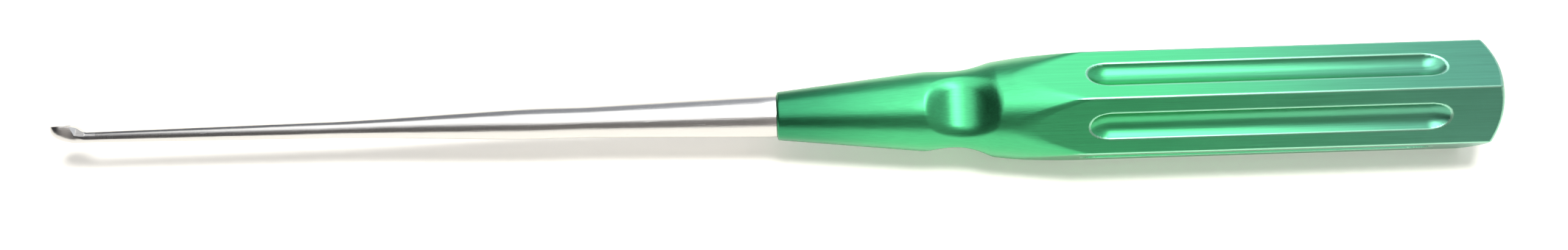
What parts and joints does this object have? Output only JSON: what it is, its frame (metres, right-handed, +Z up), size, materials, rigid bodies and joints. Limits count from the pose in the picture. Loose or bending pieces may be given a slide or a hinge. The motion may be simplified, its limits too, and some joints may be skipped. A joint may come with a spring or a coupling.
{
  "type": "cervical curette",
  "caption": "Slim surgical curette with a small oval cup on a tapered steel shaft, set in a fluted hexagonal handle with finger scoops.",
  "frame": {"origin": "on the surface the tool lies on, under the middle of its overall length and width", "axes": "+X along the tool from the cup towards the butt, +Z up from the surface, the handle resting on one of its flats"},
  "size_m": [0.2322, 0.0188, 0.0164],
  "materials": {
    "shaft_steel": "satin ground stainless steel",
    "handle_green": "satin green anodised aluminium"
  },
  "bodies": {
    "root": {"curette_shaft": "shaft_steel", "handle": "handle_green"}
  },
  "joints": []
}
